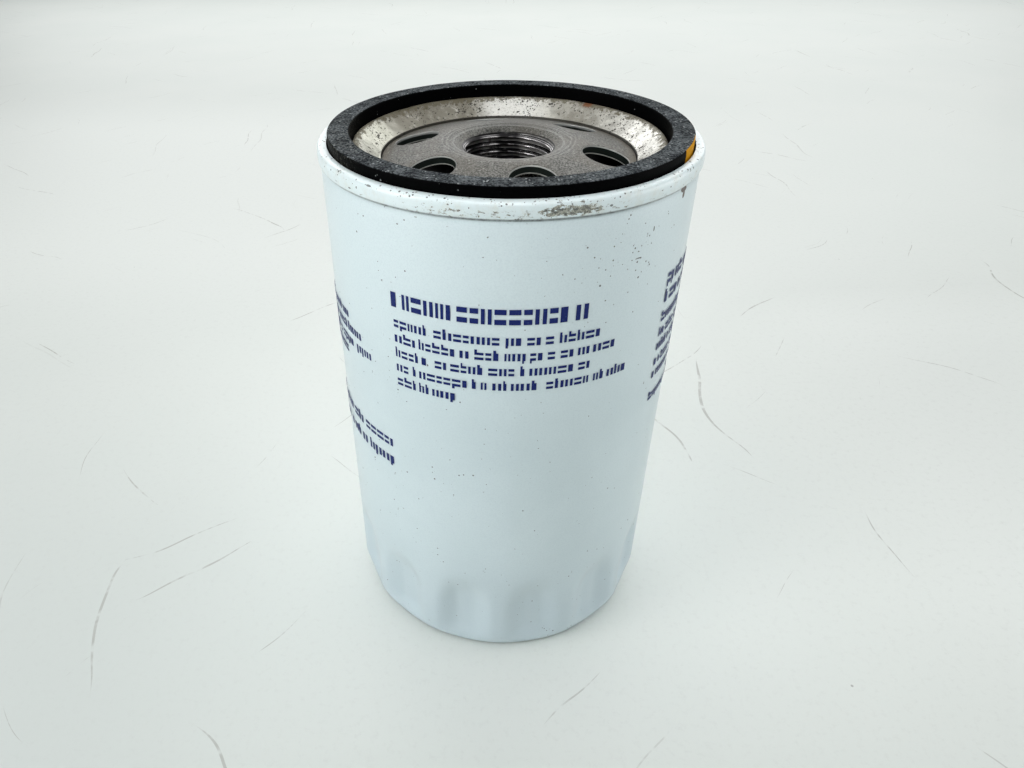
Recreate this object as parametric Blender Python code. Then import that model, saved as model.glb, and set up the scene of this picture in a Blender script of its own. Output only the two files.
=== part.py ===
"""Spin-on oil filter, built from the separate pieces it is pressed, rolled and glued from.

The filter stands on the closed end of its can, with its axis on Z and its threaded end up.
Angles go round from the front (-Y) towards +X. Lengths are in metres.
"""
import math

import bmesh
import bpy

MM = 0.001
GAP = 0.3 * MM
TURN = 2.0 * math.pi

# The can and its rolled rim
CAN_RADIUS = 38.0 * MM
CAN_WALL = 0.6 * MM
CORNER_RADIUS = 6.5 * MM
DISH_RADIUS = 19.0 * MM
DISH_DEPTH = 1.2 * MM
FOOT_INNER = 21.0 * MM
RIM_BASE = 115.2 * MM
RIM_TOP = 118.7 * MM
RIM_RADIUS = 38.65 * MM
RIM_INNER = 36.7 * MM
RIM_ROLL = 0.75 * MM

# Wrench flutes round the closed end
FLUTES = 14
FLUTE_DEPTH = 1.15 * MM
FLUTE_START = 0.8 * MM
FLUTE_FULL = 6.0 * MM
FLUTE_FADE = 16.0 * MM
FLUTE_END = 27.0 * MM
FLUTE_PHASE = math.radians(1.0)

# Seaming cover: inner lip, sloping band, gasket groove and the flange under the rim
COVER_SHEET = 0.5 * MM
LIP_INNER = 26.0 * MM
LIP_OUTER = 27.3 * MM
LIP_UNDERSIDE = 114.4 * MM
GROOVE_FLOOR = 114.9 * MM
GROOVE_INNER = 31.6 * MM
GROOVE_OUTER = 36.6 * MM
CREST = 118.0 * MM
FLANGE_UNDERSIDE = 117.3 * MM
FLANGE_RADIUS = 37.65 * MM

# Gasket
GASKET_INNER = 31.95 * MM
GASKET_OUTER = 36.25 * MM
GASKET_TOP = 120.6 * MM
GASKET_EDGE = 0.3 * MM

# Base plate with the threaded neck, 3/4-16 UNF
THREAD_PITCH = 25.4 / 16.0 * MM
THREAD_MINOR = 8.73 * MM
THREAD_MAJOR = 9.525 * MM
THREAD_ROWS_PER_TURN = 4
THREAD_TURNS = 6
THREAD_TOP = 115.6 * MM
PLATE_THICKNESS = 1.7 * MM
PLATE_TOP = 117.1 * MM
PLATE_RIM_TOP = 114.1 * MM
PLATE_FLAT_RADIUS = 14.0 * MM
PLATE_CROWN_RADIUS = 25.4 * MM
PLATE_CROWN_DROP = 2.65 * MM
PLATE_CROWN_POWER = 1.15
PLATE_CROWN_STEPS = 4
PLATE_RADIUS = 36.8 * MM
MOUTH_RADIUS = 12.5 * MM
MOUTH_DEPTH = 1.2 * MM
MOUTH_STEPS = 3
NECK_RADIUS = 11.2 * MM
NECK_BOTTOM = 105.5 * MM
NECK_FILLET = 0.6 * MM
INLET_HOLES = 6
INLET_RADIUS = 4.65 * MM
INLET_CIRCLE = 20.0 * MM
INLET_PHASE = math.radians(14.0)

# Anti-drain-back valve and its spring
VALVE_SHEET = 1.1 * MM
VALVE_COLLAR_INNER = 11.5 * MM
VALVE_COLLAR_OUTER = 13.0 * MM
VALVE_COLLAR_BOTTOM = 105.3 * MM
VALVE_UNDERSIDE = 109.3 * MM
VALVE_BEND_RADIUS = 23.5 * MM
VALVE_LIP_RADIUS = 28.0 * MM
VALVE_LIP_RISE = 1.3 * MM
FINGERS = 8
FINGER_SHEET = 0.4 * MM
FINGER_BASE_INNER = 14.5 * MM
FINGER_BASE_OUTER = 17.5 * MM
FINGER_TIP_RADIUS = 25.0 * MM
FINGER_RISE = 5.3 * MM
FINGER_PULL_BACK = 0.8

# Filter element
CAP_SHEET = 0.4 * MM
CAP_RADIUS = 33.6 * MM
CAP_RIM = 4.6 * MM
UPPER_CAP_UNDERSIDE = 103.1 * MM
UPPER_CAP_HOLE = 12.3 * MM
UPPER_CAP_COLLAR = 1.6 * MM
LOWER_CAP_UNDERSIDE = 15.4 * MM
POTTING_DEPTH = 1.9 * MM
POTTING_INNER = 17.2 * MM
POTTING_OUTER = 32.9 * MM
TUBE_RADIUS = 16.6 * MM
TUBE_WALL = 0.6 * MM
TUBE_HOLE_RADIUS = 2.6 * MM
TUBE_HOLE_REACH = 3.0 * MM
TUBE_HOLE_COLUMNS = 6
TUBE_HOLE_ROWS = 4
PLEATS = 44
PLEAT_INNER = 17.6 * MM
PLEAT_OUTER = 32.4 * MM
INNER_FOLD = 0.9 * MM
OUTER_FOLD = 1.2 * MM
PAPER = 0.55 * MM
PAPER_END_RADIUS = 31.2 * MM
CLIP_SHEET = 0.4 * MM
CLIP_INNER = 27.5 * MM
CLIP_OUTER = 32.0 * MM

# Bypass relief valve in the lower cap
SEAT_INNER = 6.5 * MM
SEAT_OUTER = 12.2 * MM
SEAT_SHEET = 0.5 * MM
HOUSING_SHEET = 0.5 * MM
HOUSING_RADIUS = 10.0 * MM
HOUSING_FLANGE = 12.2 * MM
HOUSING_HEIGHT = 17.0 * MM
HOUSING_WINDOWS = 4
WINDOW_SIDE = 8.0 * MM
PIN_RADIUS = 1.5 * MM
PIN_CLEARANCE = 0.4 * MM
PIN_HEAD_RADIUS = 3.0 * MM
PIN_LENGTH = 21.0 * MM
POPPET_RADIUS = 8.0 * MM
POPPET_SHEET = 0.8 * MM
SEAL_INNER = 4.0 * MM
SEAL_OUTER = 7.7 * MM
SEAL_THICKNESS = 1.0 * MM
BYPASS_COIL_RADIUS = 4.6 * MM
BYPASS_WIRE = 0.5 * MM
BYPASS_TURNS = 5
COIL_STEPS_PER_TURN = 12
WIRE_SIDES = 6

# Leaf spring under the element
LEAF_SHEET = 0.6 * MM
LEAF_TOP_INNER = 9.5 * MM
LEAF_TOP_OUTER = 14.0 * MM
LEAF_FOOT_INNER = 26.0 * MM
LEAF_FOOT_OUTER = 30.0 * MM
LEAF_FOOT_HEIGHT = 1.2 * MM
LEAF_WINDOWS = 6
LEAF_WINDOW_SIDE = 9.5 * MM

# Facets round each kind of piece
SHELL_SEGMENTS = 4 * FLUTES
RING_SEGMENTS = 48
PLATE_SEGMENTS = 36
SMALL_SEGMENTS = 24
TUBE_HOLE_SIDES = 8
SHARP_ANGLE = math.radians(35.0)

# Colour, roughness and metallic value of each finish
FINISHES = {
    "painted_steel": ((0.72, 0.80, 0.83, 1.0), 0.35, 0.1),
    "tinned_steel": ((0.75, 0.74, 0.70, 1.0), 0.28, 1.0),
    "phosphated_steel": ((0.28, 0.27, 0.26, 1.0), 0.5, 0.8),
    "black_rubber": ((0.03, 0.03, 0.03, 1.0), 0.6, 0.0),
    "spring_steel": ((0.35, 0.36, 0.38, 1.0), 0.3, 1.0),
    "filter_paper": ((0.75, 0.55, 0.28, 1.0), 0.9, 0.0),
    "adhesive": ((0.55, 0.16, 0.10, 1.0), 0.5, 0.0),
}


def clear_scene():
    for old in list(bpy.data.objects):
        bpy.data.objects.remove(old, do_unlink=True)


def material_for(name, finish):
    """Give one piece a material of its own with the finish's values."""
    colour, roughness, metallic = FINISHES[finish]
    material = bpy.data.materials.new(name)
    material.use_nodes = True
    shader = material.node_tree.nodes["Principled BSDF"]
    shader.inputs["Base Color"].default_value = colour
    shader.inputs["Roughness"].default_value = roughness
    shader.inputs["Metallic"].default_value = metallic
    return material


def make_piece(name, shape, finish):
    """Turn a bmesh into a named, smooth-shaded object and link it."""
    mesh = bpy.data.meshes.new(name)
    shape.to_mesh(mesh)
    shape.free()
    mesh.shade_smooth()
    mesh.set_sharp_from_angle(angle=SHARP_ANGLE)
    piece = bpy.data.objects.new(name, mesh)
    bpy.context.scene.collection.objects.link(piece)
    if finish:
        mesh.materials.append(material_for(name, finish))
    return piece


def around(radius, angle, height):
    """Point at a radius, an angle from the front and a height."""
    return (radius * math.sin(angle), -radius * math.cos(angle), height)


def lathe(name, outline, segments, finish, warp=None):
    """Turn a closed outline of (radius, height) points about Z.

    The outline runs anticlockwise as seen with the radius to the right. Points on the axis
    become single poles. warp(radius, height, angle) may move each point as it goes round.
    """
    shape = bmesh.new()
    poles = {}
    columns = []
    for step in range(segments):
        angle = TURN * step / segments
        column = []
        for index, (radius, height) in enumerate(outline):
            if radius > 0.0:
                place = warp(radius, height, angle) if warp else (radius, height)
                column.append(shape.verts.new(around(place[0], angle, place[1])))
                continue
            if index not in poles:
                poles[index] = shape.verts.new((0.0, 0.0, height))
            column.append(poles[index])
        columns.append(column)
    for step, here in enumerate(columns):
        ahead = columns[(step + 1) % segments]
        for index in range(len(outline)):
            after = (index + 1) % len(outline)
            corners = list(dict.fromkeys([here[index], ahead[index], ahead[after], here[after]]))
            if len(corners) > 2:
                shape.faces.new(corners)
    return make_piece(name, shape, finish)


def sheet(path, thickness):
    """Outline of sheet metal whose outer face follows a path and whose body lies to its left."""
    normals = []
    for (r0, z0), (r1, z1) in zip(path, path[1:]):
        length = math.hypot(r1 - r0, z1 - z0)
        normals.append(((z0 - z1) / length, (r1 - r0) / length))
    inside = []
    for index, (radius, height) in enumerate(path):
        before = normals[max(index - 1, 0)]
        after = normals[min(index, len(normals) - 1)]
        spread = 1.0 + before[0] * after[0] + before[1] * after[1]
        shift = [thickness * (before[axis] + after[axis]) / spread for axis in (0, 1)]
        inside.append((radius + shift[0], height + shift[1]))
    return path + inside[::-1]


def arc(centre, radius, start, end, steps):
    """Points of an arc, with angles in degrees from +radius towards +Z."""
    points = []
    for step in range(steps + 1):
        angle = math.radians(start + (end - start) * step / steps)
        points.append((centre[0] + radius * math.cos(angle), centre[1] + radius * math.sin(angle)))
    return points


def ring_outline(inner, outer, bottom, top, edge=0.0):
    """Outline of a plain ring, with its four edges cut back when edge is given."""
    if not edge:
        return [(inner, bottom), (outer, bottom), (outer, top), (inner, top)]
    return [
        (inner + edge, bottom), (outer - edge, bottom), (outer, bottom + edge), (outer, top - edge),
        (outer - edge, top), (inner + edge, top), (inner, top - edge), (inner, bottom + edge),
    ]


def cut(piece, cutter):
    """Cut one object with another, which stays in the scene as a hidden guide."""
    cutter.hide_render = True
    cutter.display_type = "WIRE"
    boolean = piece.modifiers.new("cut_" + cutter.name, "BOOLEAN")
    boolean.operation = "DIFFERENCE"
    boolean.solver = "EXACT"
    boolean.object = cutter


def add_rod(shape, start, end, radius, sides):
    """Add a closed straight rod between two points on one bmesh, for use as a cutter."""
    axis = [end[k] - start[k] for k in range(3)]
    length = math.sqrt(sum(value * value for value in axis))
    along = [value / length for value in axis]
    side = (-along[1], along[0], 0.0) if abs(along[2]) < 0.9 else (1.0, 0.0, 0.0)
    up = (
        along[1] * side[2] - along[2] * side[1],
        along[2] * side[0] - along[0] * side[2],
        along[0] * side[1] - along[1] * side[0],
    )
    rings = []
    for centre in (start, end):
        ring = []
        for step in range(sides):
            angle = TURN * (step + 0.5) / sides
            across = radius * math.cos(angle)
            rise = radius * math.sin(angle)
            ring.append(shape.verts.new([centre[k] + across * side[k] + rise * up[k] for k in range(3)]))
        rings.append(ring)
    for step in range(sides):
        after = (step + 1) % sides
        shape.faces.new((rings[0][step], rings[0][after], rings[1][after], rings[1][step]))
    shape.faces.new(rings[0][::-1])
    shape.faces.new(rings[1])


def smooth_step(value):
    value = min(max(value, 0.0), 1.0)
    return value * value * (3.0 - 2.0 * value)


def flute_warp(radius, height, angle):
    """Press the wrench flutes into the lower wall of the can, with a land at angle 0."""
    rise = smooth_step((height - FLUTE_START) / (FLUTE_FULL - FLUTE_START))
    fade = 1.0 - smooth_step((height - FLUTE_FADE) / (FLUTE_END - FLUTE_FADE))
    across = (angle * FLUTES / TURN) % 1.0
    hollow = 1.0 - (2.0 * across - 1.0) ** 2
    return (radius - FLUTE_DEPTH * rise * fade * hollow, height)


def make_can():
    corner = arc((CAN_RADIUS - CORNER_RADIUS, CORNER_RADIUS), CORNER_RADIUS, -90.0, 0.0, 4)
    flute_heights = [8.0 * MM, 12.0 * MM, 16.0 * MM, 19.5 * MM, 23.0 * MM, FLUTE_END]
    wall = [(CAN_RADIUS, height) for height in flute_heights]
    path = [(0.0, DISH_DEPTH), (DISH_RADIUS, DISH_DEPTH), (FOOT_INNER, 0.0)] + corner + wall
    path += [(CAN_RADIUS, RIM_BASE), (RIM_RADIUS, RIM_BASE + RIM_ROLL)]
    path += arc((RIM_RADIUS - RIM_ROLL, RIM_TOP - RIM_ROLL), RIM_ROLL, 0.0, 90.0, 2)
    path += [(RIM_INNER, RIM_TOP)]
    can = lathe("can", sheet(path, CAN_WALL), SHELL_SEGMENTS, "painted_steel", flute_warp)
    can.rotation_euler = (0.0, 0.0, FLUTE_PHASE)


def make_seaming_cover():
    path = [
        (LIP_INNER, LIP_UNDERSIDE),
        (LIP_OUTER, LIP_UNDERSIDE),
        (GROOVE_INNER - 2.0 * COVER_SHEET, CREST - COVER_SHEET),
        (GROOVE_INNER - COVER_SHEET, CREST - COVER_SHEET),
        (GROOVE_INNER - COVER_SHEET, GROOVE_FLOOR),
        (GROOVE_OUTER + COVER_SHEET, GROOVE_FLOOR),
        (GROOVE_OUTER + COVER_SHEET, FLANGE_UNDERSIDE),
        (FLANGE_RADIUS, FLANGE_UNDERSIDE),
    ]
    lathe("seaming_cover", sheet(path, COVER_SHEET), RING_SEGMENTS, "tinned_steel")


def thread_warp(radius, height, angle):
    """Carry the helical thread form on the points that lie on the thread's minor radius."""
    if radius != THREAD_MINOR:
        return (radius, height)
    bottom = THREAD_TOP - THREAD_TURNS * THREAD_PITCH
    phase = (height / THREAD_PITCH - angle / TURN) % 1.0
    form = 1.0 - abs(2.0 * phase - 1.0)
    ends = min(height - bottom, THREAD_TOP - height) / THREAD_PITCH
    return (THREAD_MINOR + (THREAD_MAJOR - THREAD_MINOR) * form * min(max(ends, 0.0), 1.0), height)


def plate_crown():
    """The plate's upper face from its flat middle out to the cover, falling away as a cone."""
    points = []
    for step in range(PLATE_CROWN_STEPS + 1):
        share = step / PLATE_CROWN_STEPS
        radius = PLATE_FLAT_RADIUS + (PLATE_CROWN_RADIUS - PLATE_FLAT_RADIUS) * share
        points.append((radius, PLATE_TOP - PLATE_CROWN_DROP * share ** PLATE_CROWN_POWER))
    return points


def plate_mouth():
    """The rounded mouth where the plate is drawn down into its threaded neck."""
    points = []
    for step in range(MOUTH_STEPS + 1):
        turn = math.radians(90.0 * step / MOUTH_STEPS)
        radius = MOUTH_RADIUS - (MOUTH_RADIUS - THREAD_MAJOR) * math.sin(turn)
        points.append((radius, PLATE_TOP - MOUTH_DEPTH * (1.0 - math.cos(turn))))
    return points


def make_base_plate():
    top = [(PLATE_RADIUS, PLATE_RIM_TOP), (LIP_INNER - GAP, PLATE_RIM_TOP)] + plate_crown()[::-1]
    top += plate_mouth()
    rows = THREAD_TURNS * THREAD_ROWS_PER_TURN
    drop = THREAD_PITCH / THREAD_ROWS_PER_TURN
    thread = [(THREAD_MINOR, THREAD_TOP - row * drop) for row in range(rows + 1)]
    bottom = [
        (THREAD_MAJOR, NECK_BOTTOM),
        (NECK_RADIUS, NECK_BOTTOM),
        (NECK_RADIUS, PLATE_TOP - PLATE_THICKNESS - NECK_FILLET),
        (PLATE_FLAT_RADIUS, PLATE_TOP - PLATE_THICKNESS),
        (LIP_INNER, PLATE_RIM_TOP - PLATE_THICKNESS),
        (PLATE_RADIUS, PLATE_RIM_TOP - PLATE_THICKNESS),
    ]
    plate = lathe("base_plate", bottom + top + thread, PLATE_SEGMENTS, "phosphated_steel", thread_warp)
    drills = bmesh.new()
    for hole in range(INLET_HOLES):
        angle = INLET_PHASE + TURN * hole / INLET_HOLES
        start = around(INLET_CIRCLE, angle, PLATE_RIM_TOP - 2.0 * PLATE_THICKNESS)
        end = around(INLET_CIRCLE, angle, PLATE_TOP + PLATE_THICKNESS)
        add_rod(drills, start, end, INLET_RADIUS, SMALL_SEGMENTS)
    cut(plate, make_piece("inlet_drills", drills, None))


def make_gasket():
    floor = GROOVE_FLOOR + COVER_SHEET + GAP
    outline = ring_outline(GASKET_INNER, GASKET_OUTER, floor, GASKET_TOP, GASKET_EDGE)
    lathe("gasket", outline, RING_SEGMENTS, "black_rubber")


def make_anti_drain_valve():
    crown = VALVE_UNDERSIDE + VALVE_SHEET
    outline = [
        (VALVE_COLLAR_INNER, VALVE_COLLAR_BOTTOM),
        (VALVE_COLLAR_OUTER, VALVE_COLLAR_BOTTOM),
        (VALVE_COLLAR_OUTER, VALVE_UNDERSIDE),
        (VALVE_BEND_RADIUS, VALVE_UNDERSIDE + GAP),
        (VALVE_LIP_RADIUS, VALVE_UNDERSIDE + GAP + VALVE_LIP_RISE),
        (VALVE_LIP_RADIUS - GAP, crown + VALVE_LIP_RISE + GAP),
        (VALVE_BEND_RADIUS, crown + GAP),
        (VALVE_COLLAR_OUTER, crown),
        (VALVE_COLLAR_INNER, crown + GAP),
    ]
    lathe("anti_drain_valve", outline, PLATE_SEGMENTS, "black_rubber")


def finger_warp(radius, height, angle):
    """Pull the washer's outer edge back and down between the fingers."""
    if radius < FINGER_BASE_OUTER + CAP_SHEET or math.cos(FINGERS * angle) > -0.1:
        return (radius, height)
    back = FINGER_PULL_BACK * (FINGER_TIP_RADIUS - FINGER_BASE_OUTER)
    return (radius - back, height - FINGER_PULL_BACK * FINGER_RISE)


def make_anti_drain_spring():
    base = UPPER_CAP_UNDERSIDE + CAP_SHEET + GAP
    path = [
        (FINGER_BASE_INNER, base),
        (FINGER_BASE_OUTER, base),
        (FINGER_TIP_RADIUS, base + FINGER_RISE),
    ]
    segments = 6 * FINGERS
    lathe("anti_drain_spring", sheet(path, FINGER_SHEET), segments, "spring_steel", finger_warp)


def make_end_caps():
    upper = [
        (UPPER_CAP_HOLE, UPPER_CAP_UNDERSIDE - UPPER_CAP_COLLAR),
        (UPPER_CAP_HOLE, UPPER_CAP_UNDERSIDE),
        (CAP_RADIUS - CAP_SHEET, UPPER_CAP_UNDERSIDE),
        (CAP_RADIUS - CAP_SHEET, UPPER_CAP_UNDERSIDE - CAP_RIM),
    ]
    lathe("upper_end_cap", sheet(upper, CAP_SHEET), PLATE_SEGMENTS, "tinned_steel")
    lower = [
        (SEAT_OUTER + GAP, LOWER_CAP_UNDERSIDE),
        (CAP_RADIUS, LOWER_CAP_UNDERSIDE),
        (CAP_RADIUS, LOWER_CAP_UNDERSIDE + CAP_SHEET + CAP_RIM),
    ]
    lathe("lower_end_cap", sheet(lower, CAP_SHEET), PLATE_SEGMENTS, "tinned_steel")


def make_potting():
    top = UPPER_CAP_UNDERSIDE - GAP
    upper = ring_outline(POTTING_INNER, POTTING_OUTER, top - POTTING_DEPTH, top)
    lathe("upper_potting", upper, PLATE_SEGMENTS, "adhesive")
    bottom = LOWER_CAP_UNDERSIDE + CAP_SHEET + GAP
    lower = ring_outline(POTTING_INNER, POTTING_OUTER, bottom, bottom + POTTING_DEPTH)
    lathe("lower_potting", lower, PLATE_SEGMENTS, "adhesive")


def media_heights():
    """Bottom and top of the paper, between the two potting rings."""
    bottom = LOWER_CAP_UNDERSIDE + CAP_SHEET + 2.0 * GAP + POTTING_DEPTH
    top = UPPER_CAP_UNDERSIDE - 2.0 * GAP - POTTING_DEPTH
    return bottom, top


def extrude_strip(name, path, thickness, bottom, top, finish):
    """Stand a strip of even thickness on edge: its path lies in the XY plane, its body to the left."""
    outline = sheet(path, thickness)
    shape = bmesh.new()
    low = [shape.verts.new((x, y, bottom)) for x, y in outline]
    high = [shape.verts.new((x, y, top)) for x, y in outline]
    count = len(outline)
    for index in range(count):
        after = (index + 1) % count
        shape.faces.new((low[index], low[after], high[after], high[index]))
    for index in range(len(path) - 1):
        across = count - 1 - index
        shape.faces.new((high[index], high[index + 1], high[across - 1], high[across]))
        shape.faces.new((low[across], low[across - 1], low[index + 1], low[index]))
    return make_piece(name, shape, finish)


def make_pleated_media():
    """A strip of paper folded in and out, whose two ends meet in the seam clip at the front."""
    pitch = TURN / PLEATS
    half_inner = INNER_FOLD / PLEAT_INNER / 2.0
    half_outer = OUTER_FOLD / PLEAT_OUTER / 2.0
    end_angle = (PAPER + GAP / 2.0) / PAPER_END_RADIUS
    folds = [(PAPER_END_RADIUS, end_angle)]
    for pleat in range(PLEATS):
        valley = (pleat + 0.5) * pitch
        folds += [(PLEAT_INNER, valley - half_inner), (PLEAT_INNER, valley + half_inner)]
        if pleat < PLEATS - 1:
            ridge = (pleat + 1.0) * pitch
            folds += [(PLEAT_OUTER, ridge - half_outer), (PLEAT_OUTER, ridge + half_outer)]
    folds.append((PAPER_END_RADIUS, -end_angle))
    path = [around(radius, angle, 0.0)[:2] for radius, angle in folds]
    bottom, top = media_heights()
    extrude_strip("pleated_media", path, PAPER, bottom, top, "filter_paper")
    reach = PAPER + 1.5 * GAP + CLIP_SHEET
    channel = [(-reach, -CLIP_INNER), (-reach, -CLIP_OUTER), (reach, -CLIP_OUTER), (reach, -CLIP_INNER)]
    extrude_strip("media_seam_clip", channel, CLIP_SHEET, bottom, top, "tinned_steel")


def make_centre_tube():
    bottom = LOWER_CAP_UNDERSIDE + CAP_SHEET + GAP
    top = UPPER_CAP_UNDERSIDE - GAP
    outline = ring_outline(TUBE_RADIUS - TUBE_WALL, TUBE_RADIUS, bottom, top)
    tube = lathe("centre_tube", outline, PLATE_SEGMENTS, "tinned_steel")
    drills = bmesh.new()
    for row in range(TUBE_HOLE_ROWS):
        height = bottom + (top - bottom) * (row + 0.5) / TUBE_HOLE_ROWS
        for column in range(TUBE_HOLE_COLUMNS):
            angle = TURN * (column + 0.5 * (row % 2)) / TUBE_HOLE_COLUMNS
            start = around(TUBE_RADIUS - TUBE_HOLE_REACH, angle, height)
            end = around(TUBE_RADIUS + TUBE_HOLE_REACH, angle, height)
            add_rod(drills, start, end, TUBE_HOLE_RADIUS, TUBE_HOLE_SIDES)
    cut(tube, make_piece("tube_drills", drills, None))


def coil(name, radius, wire, bottom, top, turns, finish):
    """A coil spring of round wire, with its ends closed flat."""
    shape = bmesh.new()
    steps = turns * COIL_STEPS_PER_TURN
    rings = []
    for step in range(steps + 1):
        angle = TURN * turns * step / steps
        height = bottom + (top - bottom) * step / steps
        ring = []
        for side in range(WIRE_SIDES):
            round_wire = TURN * side / WIRE_SIDES
            reach = radius + wire * math.cos(round_wire)
            ring.append(shape.verts.new(around(reach, angle, height + wire * math.sin(round_wire))))
        rings.append(ring)
    for here, ahead in zip(rings, rings[1:]):
        for side in range(WIRE_SIDES):
            after = (side + 1) % WIRE_SIDES
            shape.faces.new((here[side], ahead[side], ahead[after], here[after]))
    shape.faces.new(rings[0])
    shape.faces.new(rings[-1][::-1])
    return make_piece(name, shape, finish)


def make_bypass_valve():
    """Seat, windowed housing, valve plate with its seal and guide pin, and the coil spring."""
    seat = ring_outline(SEAT_INNER, SEAT_OUTER, LOWER_CAP_UNDERSIDE, LOWER_CAP_UNDERSIDE + SEAT_SHEET)
    lathe("bypass_seat", seat, SMALL_SEGMENTS, "tinned_steel")
    base = LOWER_CAP_UNDERSIDE + SEAT_SHEET + GAP
    ceiling = base + HOUSING_HEIGHT
    hat = [
        (PIN_RADIUS + PIN_CLEARANCE, ceiling),
        (HOUSING_RADIUS - HOUSING_SHEET, ceiling),
        (HOUSING_RADIUS - HOUSING_SHEET, base),
        (HOUSING_FLANGE, base),
    ]
    housing = lathe("bypass_housing", sheet(hat, HOUSING_SHEET), SMALL_SEGMENTS, "tinned_steel")
    punches = bmesh.new()
    for window in range(HOUSING_WINDOWS):
        angle = TURN * window / HOUSING_WINDOWS
        start = around(HOUSING_RADIUS - WINDOW_SIDE / 2.0, angle, (base + ceiling) / 2.0)
        end = around(HOUSING_RADIUS + WINDOW_SIDE / 2.0, angle, (base + ceiling) / 2.0)
        add_rod(punches, start, end, WINDOW_SIDE / math.sqrt(2.0), 4)
    cut(housing, make_piece("window_punches", punches, None))

    seal = ring_outline(SEAL_INNER, SEAL_OUTER, base, base + SEAL_THICKNESS)
    lathe("bypass_seal", seal, SMALL_SEGMENTS, "black_rubber")
    plate_base = base + SEAL_THICKNESS + GAP
    plate = ring_outline(PIN_RADIUS + GAP, POPPET_RADIUS, plate_base, plate_base + POPPET_SHEET)
    lathe("bypass_poppet", plate, SMALL_SEGMENTS, "tinned_steel")
    head_top = plate_base - GAP
    pin = [
        (0.0, base), (PIN_HEAD_RADIUS, base), (PIN_HEAD_RADIUS, head_top), (PIN_RADIUS, head_top),
        (PIN_RADIUS, base + PIN_LENGTH), (0.0, base + PIN_LENGTH),
    ]
    lathe("bypass_guide_pin", pin, SMALL_SEGMENTS, "spring_steel")
    low = plate_base + POPPET_SHEET + GAP + BYPASS_WIRE
    high = ceiling - GAP - BYPASS_WIRE
    coil("bypass_spring", BYPASS_COIL_RADIUS, BYPASS_WIRE, low, high, BYPASS_TURNS, "spring_steel")


def make_element_support_spring():
    """A coned leaf spring, with windows between its legs, from the can's floor to the element."""
    top = LOWER_CAP_UNDERSIDE - GAP - LEAF_SHEET
    path = [
        (LEAF_TOP_INNER, top),
        (LEAF_TOP_OUTER, top),
        (LEAF_FOOT_INNER, LEAF_FOOT_HEIGHT),
        (LEAF_FOOT_OUTER, LEAF_FOOT_HEIGHT),
    ]
    spring = lathe("element_support_spring", sheet(path, LEAF_SHEET), PLATE_SEGMENTS, "spring_steel")
    punches = bmesh.new()
    middle = (top + LEAF_FOOT_HEIGHT) / 2.0
    for window in range(LEAF_WINDOWS):
        angle = TURN * window / LEAF_WINDOWS
        start = around(LEAF_TOP_INNER, angle, middle)
        end = around(LEAF_FOOT_OUTER, angle, middle)
        add_rod(punches, start, end, LEAF_WINDOW_SIDE / math.sqrt(2.0), 4)
    cut(spring, make_piece("leaf_punches", punches, None))


def main():
    clear_scene()
    make_can()
    make_seaming_cover()
    make_base_plate()
    make_gasket()
    make_anti_drain_valve()
    make_anti_drain_spring()
    make_end_caps()
    make_potting()
    make_pleated_media()
    make_centre_tube()
    make_bypass_valve()
    make_element_support_spring()


main()
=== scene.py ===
"""Looks of the spin-on oil filter: refined pieces, procedural materials, floor, light and camera.

Lengths are in metres. Angles go round from the printed front (-Y) towards +X, in degrees where
a name says so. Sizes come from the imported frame, with offsets given in millimetres.
"""
import math
import random

import bmesh
import bpy
from mathutils import Matrix, Vector, noise


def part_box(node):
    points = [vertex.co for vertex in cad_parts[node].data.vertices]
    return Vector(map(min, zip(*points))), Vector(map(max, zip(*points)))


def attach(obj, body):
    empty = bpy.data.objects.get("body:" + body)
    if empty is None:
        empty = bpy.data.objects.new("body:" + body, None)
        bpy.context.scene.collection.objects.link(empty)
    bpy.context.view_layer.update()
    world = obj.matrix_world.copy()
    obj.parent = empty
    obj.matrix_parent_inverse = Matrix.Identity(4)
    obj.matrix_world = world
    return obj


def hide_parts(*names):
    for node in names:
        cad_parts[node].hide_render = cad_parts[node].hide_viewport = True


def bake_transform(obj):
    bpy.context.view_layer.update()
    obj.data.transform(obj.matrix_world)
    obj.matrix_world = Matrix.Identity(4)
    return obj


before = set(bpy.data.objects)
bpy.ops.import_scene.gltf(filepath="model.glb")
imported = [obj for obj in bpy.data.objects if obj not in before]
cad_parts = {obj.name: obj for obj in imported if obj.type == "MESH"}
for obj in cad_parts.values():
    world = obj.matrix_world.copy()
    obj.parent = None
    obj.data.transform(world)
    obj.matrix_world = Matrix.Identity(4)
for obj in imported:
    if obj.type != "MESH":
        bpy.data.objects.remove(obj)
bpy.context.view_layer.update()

MM = 0.001
TURN = 2.0 * math.pi

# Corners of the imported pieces, read from the frame
CAN_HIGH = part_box("can")[1]
GASKET_LOW, GASKET_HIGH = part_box("gasket")
PLATE_LOW, PLATE_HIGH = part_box("base_plate")
COVER_LOW, COVER_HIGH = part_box("seaming_cover")

# The can
RIM_RADIUS = CAN_HIGH.x - 0.1 * MM
RIM_TOP = CAN_HIGH.z
CAN_RADIUS = RIM_RADIUS - 0.55 * MM
CAN_WALL = 0.6 * MM
CORNER_RADIUS = 6.5 * MM
DISH_RADIUS = 19.0 * MM
DISH_DEPTH = 1.2 * MM
FOOT_INNER = 21.5 * MM
SEAM_HEIGHT = RIM_TOP - 3.1 * MM

# Its wrench flutes
FLUTES = 14
FLUTE_COLUMNS = 26
FLUTE_PHASE = math.radians(1.0)
FLUTE_DEPTH = 2.0 * MM
FLUTE_FOOT = 1.8 * MM
FLUTE_RISE = 7.0 * MM
FLUTE_TOP = 28.0 * MM
FLUTE_ARCH = 5.0 * MM
FLUTE_FADE = 10.0 * MM

# The gasket
GASKET_OUTER = GASKET_HIGH.x
GASKET_INNER = GASKET_OUTER - 4.3 * MM
GASKET_TOP = GASKET_HIGH.z

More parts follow.
